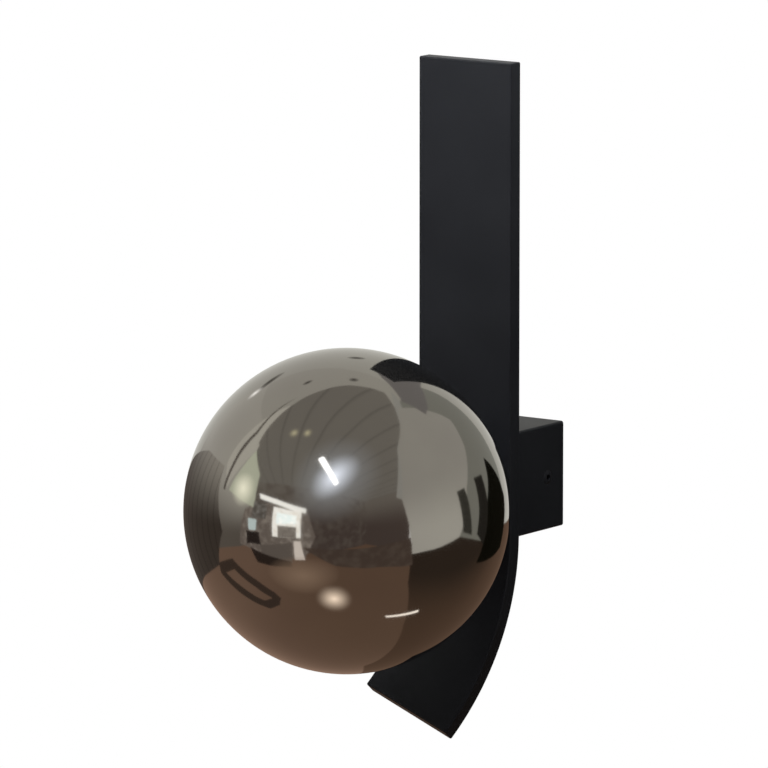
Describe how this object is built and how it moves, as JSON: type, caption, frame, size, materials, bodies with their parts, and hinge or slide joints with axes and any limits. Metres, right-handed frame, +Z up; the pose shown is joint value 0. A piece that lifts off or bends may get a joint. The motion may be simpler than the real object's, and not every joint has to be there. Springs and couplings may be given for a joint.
{
  "type": "globe wall sconce",
  "caption": "Wall sconce with a flat black plate that curves forward at its foot, a square wall box behind it and a mirrored glass globe in front.",
  "frame": {"origin": "centre of the wall bracket's back face, on the axis of the lamp holder and of the cable hole", "axes": "+Y points into the wall, +Z is up, +X is to the right as seen from the room"},
  "size_m": [0.15, 0.2165, 0.317],
  "materials": {
    "black_coat": "satin powder coat, slightly textured",
    "smoked_mirror_glass": "metallised smoked glass, mirror-bright outside",
    "zinc_steel": "zinc-plated, satin",
    "brass": "machined, bright",
    "black_rubber": "moulded, matt",
    "steatite": "fired ceramic, unglazed",
    "nylon": "moulded, matt",
    "lamp_housing": "moulded, gloss",
    "clear_glass": "clear, polished",
    "diode_phosphor": "cast silicone, matt",
    "lead_brown": "silicone insulation, matt",
    "lead_blue": "silicone insulation, matt",
    "lead_green": "silicone insulation, matt"
  },
  "bodies": {
    "fixture": {"wall_bracket": "zinc_steel", "cable_bush": "black_rubber", "back_box": "black_coat", "side_screws": "black_coat", "curved_plate": "black_coat", "holder_cup": "black_coat", "thread_ring": "zinc_steel", "threaded_nipple": "zinc_steel", "rear_washer": "zinc_steel", "rear_nut": "zinc_steel", "front_washer": "zinc_steel", "front_nut": "zinc_steel", "holder_strap": "zinc_steel", "lamp_holder": "steatite", "holder_contacts": "brass", "holder_screws": "zinc_steel", "terminal_block": "nylon", "terminal_barrels": "brass", "terminal_screws": "zinc_steel", "block_screws": "zinc_steel", "earth_lug": "brass", "earth_screw": "brass", "live_lead": "lead_brown", "neutral_lead": "lead_blue", "earth_lead": "lead_green"},
    "gasket": {"neck_gasket": "black_rubber"},
    "globe": {"glass_globe": "smoked_mirror_glass"},
    "lamp": {"lamp_base": "lamp_housing", "lamp_pins": "zinc_steel", "lamp_envelope": "clear_glass", "lamp_core": "steatite", "lamp_diodes": "diode_phosphor"}
  },
  "joints": [
    {"name": "globe_lift", "type": "slide", "parent": "fixture", "child": "gasket", "axis": [0, -1, 0], "range_m": [0, 0.0075]},
    {"name": "globe_turn", "type": "hinge", "parent": "gasket", "child": "globe", "pos_m": [0, -0.0615, 0], "axis": [0, -1, 0], "range_deg": [0, 900]},
    {"name": "lamp_pull", "type": "slide", "parent": "fixture", "child": "lamp", "axis": [0, -1, 0], "range_m": [0, 0.0155]}
  ],
  "couplings": [
    {"joint": "globe_lift", "follows": "globe_turn", "m_per_rad": 0.00047746}
  ]
}
